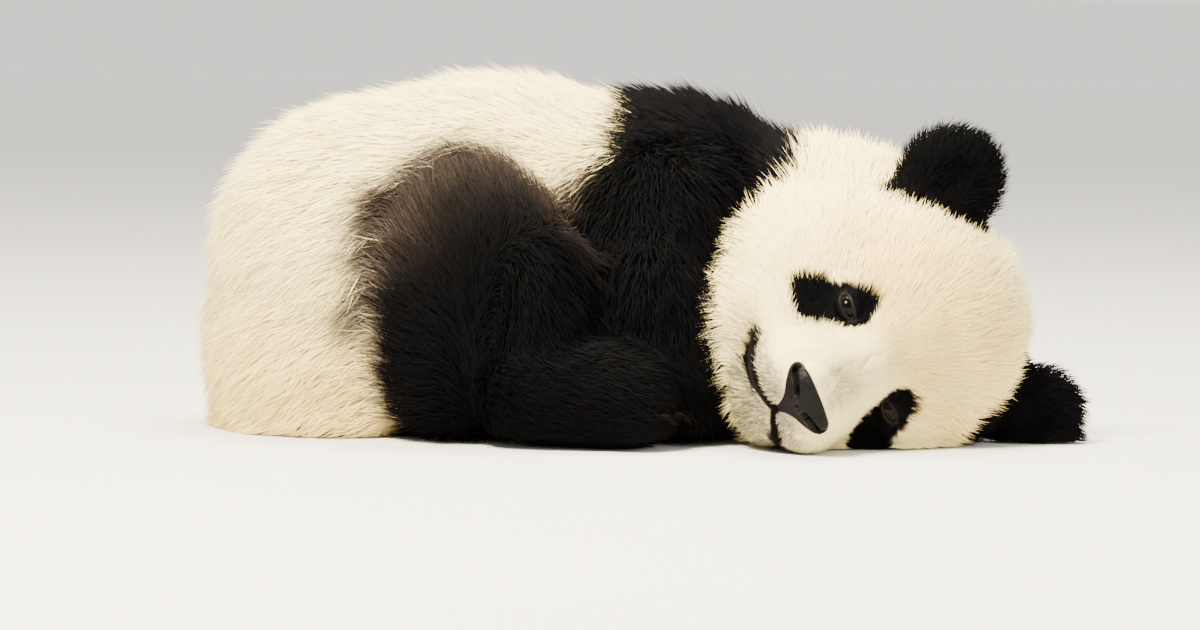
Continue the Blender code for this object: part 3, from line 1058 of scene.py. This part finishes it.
    def turn(self):
        """Keeps the tufts above the floor, and turns each about its own length."""
        floor = 0.0006 + 0.0015 * self.random.uniform(0, 1, (self.count, 1))
        self.spine[:, :, 2] = np.maximum(self.spine[:, :, 2], floor)
        roll = np.radians(self.random.uniform(-50, 50, self.count))[:, None]
        self.aim = unit(self.spine[:, 2] - self.spine[:, 0])
        across = self.side * np.cos(roll) + self.normal * np.sin(roll)
        across = unit(across - self.aim * (across * self.aim).sum(axis=1, keepdims=True))
        above = np.cross(self.aim, across)
        turned = (above * self.normal).sum(axis=1) < 0
        across[turned] *= -1
        above[turned] *= -1
        self.across, self.above = across, above

    def tint(self):
        """The values that the coat's material reads, one of each for a tuft."""
        skin, random, count = self.skin, self.random, self.count
        dark = self.at_roots(skin.dark)
        # Across a border the two colours stand tuft by tuft, as a ragged edge, and up the flank
        # they run into each other.
        ragged = np.clip((dark - random.uniform(0.12, 0.88, count)) * 4 + 0.5, 0, 1)
        halfway = 4 * dark * (1 - dark)
        blended = np.clip(1.25 * dark + self.vary(0.15) * halfway, 0, 1) ** 0.75
        self.dark = mixed(ragged, blended, 0.8 * self.at_roots(skin.blend))
        self.warm = np.clip(self.at_roots(skin.warm) + self.vary(0.05), 0, 1)
        self.brown = np.clip(self.at_roots(skin.brown) * random.uniform(0.3, 1.6, count), 0, 1)
        self.grey = np.clip(self.at_roots(skin.grey) * random.uniform(0.1, 1.9, count), 0, 1)
        self.tone = np.clip(1 + self.vary(0.035), 0.87, 1.10)

    def piece(self, name, chosen, rows, material, slot):
        """Three-sided tufts through the given rows of the spines, tapering to a point.

        Their shading leans with the skin, so that the coat looks like one soft surface.
        """
        spine = self.spine[chosen][:, rows]
        across, above, half = self.across[chosen], self.above[chosen], self.half[chosen]
        normal, aim = self.normal[chosen], self.aim[chosen]
        points, soft, tip, offsets = [], [], [], []
        for level in range(len(rows) - 1):
            taper = (1.0, 0.85)[level]
            along = UNWRAP_LENGTH * (level / (len(rows) - 1) - 0.5)
            for away, hand in ((across, -1), (above, 0), (-across, 1)):
                points.append(spine[:, level] + away * half * taper)
                soft.append(normal * 0.72 + away * 0.42)
                tip.append(rows[level] / 2)
                offsets.append((UNWRAP_HALF_WIDTH * hand, along))
        points.append(spine[:, -1])
        soft.append(normal * 0.8 + aim * 0.3)
        tip.append(1.0)
        offsets.append((0.0, UNWRAP_LENGTH / 2))
        per = len(points)
        points = np.stack(points, axis=1).reshape(-1, 3)
        points[:, 2] = np.maximum(points[:, 2], 0)
        soft = unit(np.stack(soft, axis=1).reshape(-1, 3))
        faces = []
        for corner in range(3):
            a, b = corner, (corner + 1) % 3
            for _ in range(len(rows) - 2):
                faces += [(a, b, b + 3), (a, b + 3, a + 3)]
                a, b = a + 3, b + 3
            faces.append((a, b, per - 1))
        starts = (np.arange(len(chosen)) * per)[:, None, None]
        triangles = (np.array(faces)[None] + starts).reshape(-1, 3)
        mesh = mesh_from(name, points, triangles)
        for label in ("dark", "warm", "brown", "grey", "tone"):
            add_values(mesh, label, np.repeat(getattr(self, label)[chosen], per))
        # The place along each tuft, which the coat's material reads to paint shade at the roots.
        add_values(mesh, "tip", np.tile(tip, len(chosen)))
        own_uv = (self.uv[chosen][:, None] + np.array(offsets)[None]).reshape(-1, 2)
        layer = mesh.uv_layers.new(name="OFBake")
        layer.data.foreach_set("uv", own_uv[triangles.ravel()].astype(np.float32).ravel())
        mesh.normals_split_custom_set_from_vertices(soft.astype(np.float32))
        mesh.materials.append(material)
        piece = piece_from(name, mesh)
        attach(piece, "root")
        return len(triangles)

    def pieces(self, material):
        """Every group's tufts, long and short apart, in pieces of less than MOST_TRIANGLES."""
        total = 0
        order = np.argsort(self.root[:, 0], kind="stable")
        for group, (parts, slot) in GROUPS.items():
            for size, rows, each in (("long", [0, 1, 2], 9), ("short", [0, 2], 3)):
                wanted = np.isin(self.part, parts) & (self.long == (size == "long"))
                chosen = order[wanted[order]]
                shares = math.ceil(len(chosen) / (MOST_TRIANGLES // each))
                for number, share in enumerate(np.array_split(chosen, max(shares, 1)), 1):
                    if len(share):
                        name = "coat_%s_%s_%d" % (group, size, number)
                        total += self.piece(name, share, rows, material, slot)
        print("coat triangles", total, "tufts", self.count)


# ---------------- stage

FLOOR_INNER = 3
FLOOR_OUTER = 40
CAMERA_TARGET = Vector((-0.0357, -0.1263, 0.1090))
CAMERA_DISTANCE = 4.5
CAMERA_ELEVATION = math.radians(4.0)
CAMERA_ROLL = math.radians(0.8)
VIEW_WIDTH = 1.02


def stage():
    """A wide round floor that fades into the pale world."""
    spokes = 64
    turn = np.arange(spokes) * 2 * math.pi / spokes
    rim = np.column_stack([np.cos(turn), np.sin(turn), 0 * turn])
    points = np.vstack([[(0, 0, 0)], rim * FLOOR_INNER, rim * FLOOR_OUTER])
    triangles = []
    for spoke in range(spokes):
        a, b = 1 + spoke, 1 + (spoke + 1) % spokes
        triangles += [(0, a, b), (a, a + spokes, b + spokes), (a, b + spokes, b)]
    floor = piece_from("studio_floor", mesh_from("studio_floor", points, np.array(triangles)))
    nodes = Nodes("studio_paper")
    grain = nodes.mix(nodes.noise(3), (0.64, 0.63, 0.61), (0.67, 0.66, 0.64))
    away = nodes.new("ShaderNodeVectorMath", operation="LENGTH")
    nodes.put(nodes.place(), away.inputs[0])
    tone = nodes.mix(nodes.fit(away.outputs["Value"], 1.5, 12, 0, 1), grain, (0.93, 0.93, 0.92))
    nodes.set(Base_Color=tone, Roughness=0.9, Specular_IOR_Level=0.2)
    floor.data.materials.append(nodes.material)


def light(name, place, target, size, power, colour=(1, 1, 1)):
    lamp = bpy.data.lights.new(name, "AREA")
    lamp.shape = "DISK"
    lamp.size = size
    lamp.energy = power
    lamp.color = colour
    holder = piece_from(name, lamp)
    holder.location = place
    holder.rotation_euler = (Vector(target) - Vector(place)).to_track_quat("-Z", "Y").to_euler()


def lights():
    light("key", (-0.9, -1.6, 2.5), (0, 0, 0.15), 1.0, 560, (1.0, 0.905, 0.67))
    light("top", (0.3, 0.6, 2.8), (0, 0, 0.1), 1.6, 260, (1.0, 0.91, 0.74))
    light("fill", (2.2, -2.2, 1.1), (0.1, 0, 0.15), 1.8, 70, (1.0, 0.95, 0.86))
    world = bpy.data.worlds.new("studio")
    bpy.context.scene.world = world
    world.use_nodes = True
    background = world.node_tree.nodes["Background"]
    background.inputs["Color"].default_value = (0.97, 0.94, 0.875, 1)
    background.inputs["Strength"].default_value = 1.3


def camera():
    data = bpy.data.cameras.new("camera")
    data.sensor_width = 36
    data.lens = 36 * CAMERA_DISTANCE / VIEW_WIDTH
    data.clip_end = 60
    holder = piece_from("camera", data)
    back = Vector((0, -math.cos(CAMERA_ELEVATION), math.sin(CAMERA_ELEVATION)))
    holder.location = CAMERA_TARGET + back * CAMERA_DISTANCE
    turn = (-back).to_track_quat("-Z", "Y") @ Quaternion((0, 0, 1), CAMERA_ROLL)
    holder.rotation_euler = turn.to_euler()
    bpy.context.scene.camera = holder


# ---------------- the model

camera()
lights()
stage()
the_skin = Skin()
skin_piece(the_skin)
eye_look = eye_material()
for the_eye in EYES:
    eye_piece(the_eye).data.materials.append(eye_look)
claw_pieces(claw_material())
Coat(the_skin).pieces(coat_material())
